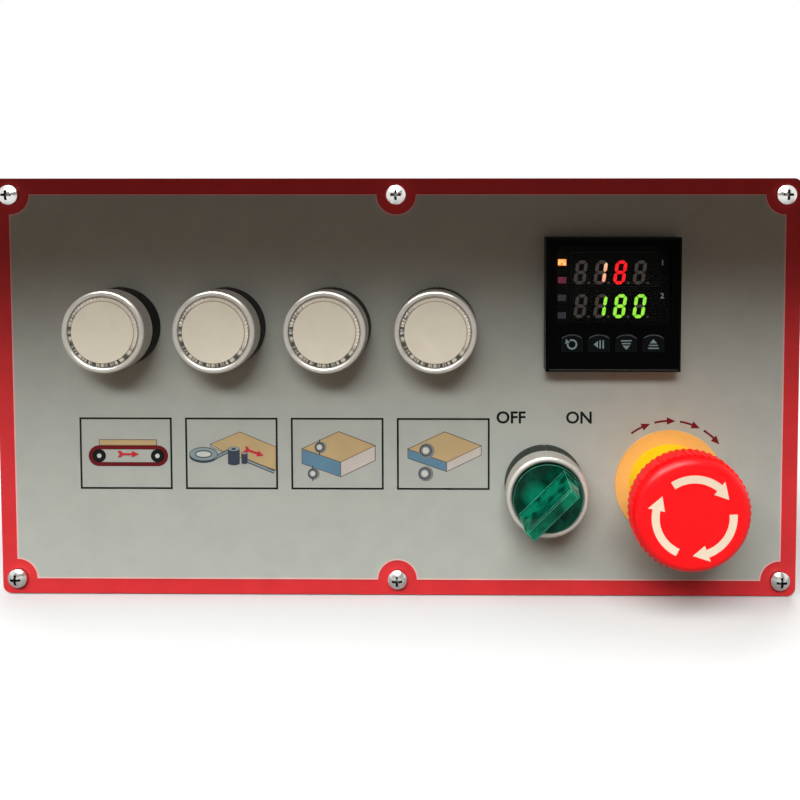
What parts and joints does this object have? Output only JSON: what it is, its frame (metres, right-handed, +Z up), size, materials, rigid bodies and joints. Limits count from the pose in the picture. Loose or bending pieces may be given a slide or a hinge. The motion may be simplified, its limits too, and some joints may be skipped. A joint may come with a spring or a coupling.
{
  "type": "operator control panel",
  "caption": "Machine operator panel: red plate with a grey film, lit push buttons, a lit selector, an emergency stop and a square process controller.",
  "frame": {"origin": "centre of the plate's rear face, which is also the centre of the four corner screws", "axes": "+X to the panel's right seen from the front, +Z up, +Y into the panel, so the front looks along -Y"},
  "size_m": [0.294, 0.1011, 0.154],
  "materials": {
    "red_paint": "smooth red enamel",
    "film": "matt grey printed film",
    "screw_steel": "bright plated steel",
    "black_plastic": "black moulded plastic",
    "rim_metal": "satin turned metal",
    "lens_clear": "clear fluted plastic",
    "cap_white": "warm white satin plastic",
    "spring_steel": "bright spring wire",
    "zinc": "die-cast zinc alloy",
    "contact_plastic": "dark grey moulded plastic",
    "lamp_plastic": "light grey moulded plastic",
    "handle_green": "translucent deep green plastic",
    "legend_orange": "pale orange plastic",
    "guard_yellow": "bright yellow plastic",
    "head_red": "bright red plastic",
    "estop_contact_red": "dark red moulded plastic",
    "bezel_black": "gloss black plastic",
    "window_smoke": "smoked glossy pane",
    "board_green": "solder-resist green",
    "key_grey": "dark silicone rubber",
    "case_black": "black moulded case",
    "terminal_grey": "grey moulded terminal strip"
  },
  "bodies": {
    "panel": {"front_plate": "red_paint", "graphic_film": "film", "plate_screws": "screw_steel", "button_1_housing": "black_plastic", "button_1_rim": "rim_metal", "button_1_spring": "spring_steel", "button_1_collar": "zinc", "button_1_contacts": "contact_plastic", "button_1_lamp": "lamp_plastic", "button_2_housing": "black_plastic", "button_2_rim": "rim_metal", "button_2_spring": "spring_steel", "button_2_collar": "zinc", "button_2_contacts": "contact_plastic", "button_2_lamp": "lamp_plastic", "button_3_housing": "black_plastic", "button_3_rim": "rim_metal", "button_3_spring": "spring_steel", "button_3_collar": "zinc", "button_3_contacts": "contact_plastic", "button_3_lamp": "lamp_plastic", "button_4_housing": "black_plastic", "button_4_rim": "rim_metal", "button_4_spring": "spring_steel", "button_4_collar": "zinc", "button_4_contacts": "contact_plastic", "button_4_lamp": "lamp_plastic", "selector_housing": "black_plastic", "selector_rim": "rim_metal", "selector_collar": "zinc", "selector_contacts": "contact_plastic", "selector_lamp": "lamp_plastic", "estop_legend": "legend_orange", "estop_housing": "guard_yellow", "estop_spring": "spring_steel", "estop_collar": "zinc", "estop_contacts": "estop_contact_red", "controller_bezel": "bezel_black", "controller_window": "window_smoke", "controller_board": "board_green", "controller_case": "case_black", "controller_clamp": "black_plastic", "controller_terminals": "terminal_grey", "rear_screws": "screw_steel"},
    "button_1_moving": {"button_1_lens_ring": "lens_clear", "button_1_cap": "cap_white"},
    "key_1": {"controller_key_1": "key_grey"},
    "button_2_moving": {"button_2_lens_ring": "lens_clear", "button_2_cap": "cap_white"},
    "key_2": {"controller_key_2": "key_grey"},
    "button_3_moving": {"button_3_lens_ring": "lens_clear", "button_3_cap": "cap_white"},
    "key_3": {"controller_key_3": "key_grey"},
    "button_4_moving": {"button_4_lens_ring": "lens_clear", "button_4_cap": "cap_white"},
    "key_4": {"controller_key_4": "key_grey"},
    "selector_knob": {"selector_handle": "handle_green", "selector_shaft": "black_plastic"},
    "estop_plunger": {"estop_spindle": "black_plastic"},
    "estop_mushroom": {"estop_head": "head_red"}
  },
  "joints": [
    {"name": "button_1_press", "type": "slide", "parent": "panel", "child": "button_1_moving", "axis": [0, 1, 0], "range_m": [0, 0.0035], "stiffness_N_per_m": 300, "springref_m": -0.004, "deforming": ["button_1_spring"]},
    {"name": "button_2_press", "type": "slide", "parent": "panel", "child": "button_2_moving", "axis": [0, 1, 0], "range_m": [0, 0.0035], "stiffness_N_per_m": 300, "springref_m": -0.004, "deforming": ["button_2_spring"]},
    {"name": "button_3_press", "type": "slide", "parent": "panel", "child": "button_3_moving", "axis": [0, 1, 0], "range_m": [0, 0.0035], "stiffness_N_per_m": 300, "springref_m": -0.004, "deforming": ["button_3_spring"]},
    {"name": "button_4_press", "type": "slide", "parent": "panel", "child": "button_4_moving", "axis": [0, 1, 0], "range_m": [0, 0.0035], "stiffness_N_per_m": 300, "springref_m": -0.004, "deforming": ["button_4_spring"]},
    {"name": "key_1_press", "type": "slide", "parent": "panel", "child": "key_1", "axis": [0, 1, 0], "range_m": [0, 0.0004], "stiffness_N_per_m": 150, "springref_m": -0.0008},
    {"name": "key_2_press", "type": "slide", "parent": "panel", "child": "key_2", "axis": [0, 1, 0], "range_m": [0, 0.0004], "stiffness_N_per_m": 150, "springref_m": -0.0008},
    {"name": "key_3_press", "type": "slide", "parent": "panel", "child": "key_3", "axis": [0, 1, 0], "range_m": [0, 0.0004], "stiffness_N_per_m": 150, "springref_m": -0.0008},
    {"name": "key_4_press", "type": "slide", "parent": "panel", "child": "key_4", "axis": [0, 1, 0], "range_m": [0, 0.0004], "stiffness_N_per_m": 150, "springref_m": -0.0008},
    {"name": "selector_turn", "type": "hinge", "parent": "panel", "child": "selector_knob", "pos_m": [0.054, 0, -0.035], "axis": [0, -1, 0], "range_deg": [0, 90]},
    {"name": "estop_press", "type": "slide", "parent": "panel", "child": "estop_plunger", "axis": [0, 1, 0], "range_m": [0, 0.0045], "deforming": ["estop_spring"]},
    {"name": "estop_twist", "type": "hinge", "parent": "estop_plunger", "child": "estop_mushroom", "pos_m": [0.1, 0, -0.035], "axis": [0, 1, 0], "range_deg": [0, 35], "stiffness_Nm_per_rad": 0.05}
  ]
}
